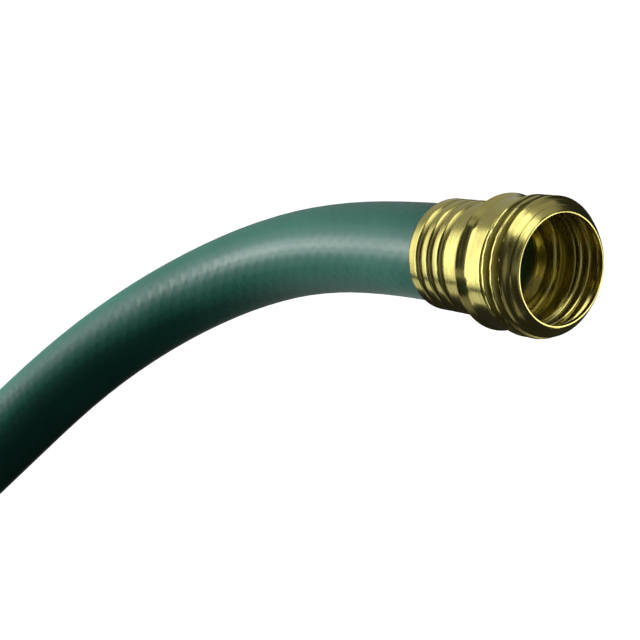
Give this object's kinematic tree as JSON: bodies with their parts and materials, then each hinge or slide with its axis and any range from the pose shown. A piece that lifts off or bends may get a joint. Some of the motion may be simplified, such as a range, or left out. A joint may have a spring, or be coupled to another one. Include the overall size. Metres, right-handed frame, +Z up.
{
  "type": "garden hose",
  "caption": "Green garden hose wound in a coil, with a threaded stamped brass coupling on one end and a swivel-nut coupling on the other.",
  "frame": {"origin": "on the floor, under the middle of the whole hose as it lies", "axes": "+X the way the male coupling's mouth and the female coupling's mouth face, +Y from the coil towards the male coupling, +Z up"},
  "size_m": [0.2948, 0.4446, 0.1127],
  "materials": {
    "brass": "bright stamped brass with fine turning marks",
    "green_hose": "smooth satin vinyl, dark green",
    "washer_rubber": "matt black rubber"
  },
  "bodies": {
    "hose": {"male_shell": "brass", "male_insert": "brass", "hose_lead": "green_hose", "hose_coil": "green_hose", "hose_tail": "green_hose", "female_ferrule": "brass", "female_insert": "brass"},
    "swivel": {"swivel_nut": "brass", "rubber_washer": "washer_rubber"}
  },
  "joints": [
    {"name": "nut_swivel", "type": "hinge", "parent": "hose", "child": "swivel", "pos_m": [0.0356, -0.1862, 0.0969], "axis": [1, 0, 0], "continuous": true}
  ]
}
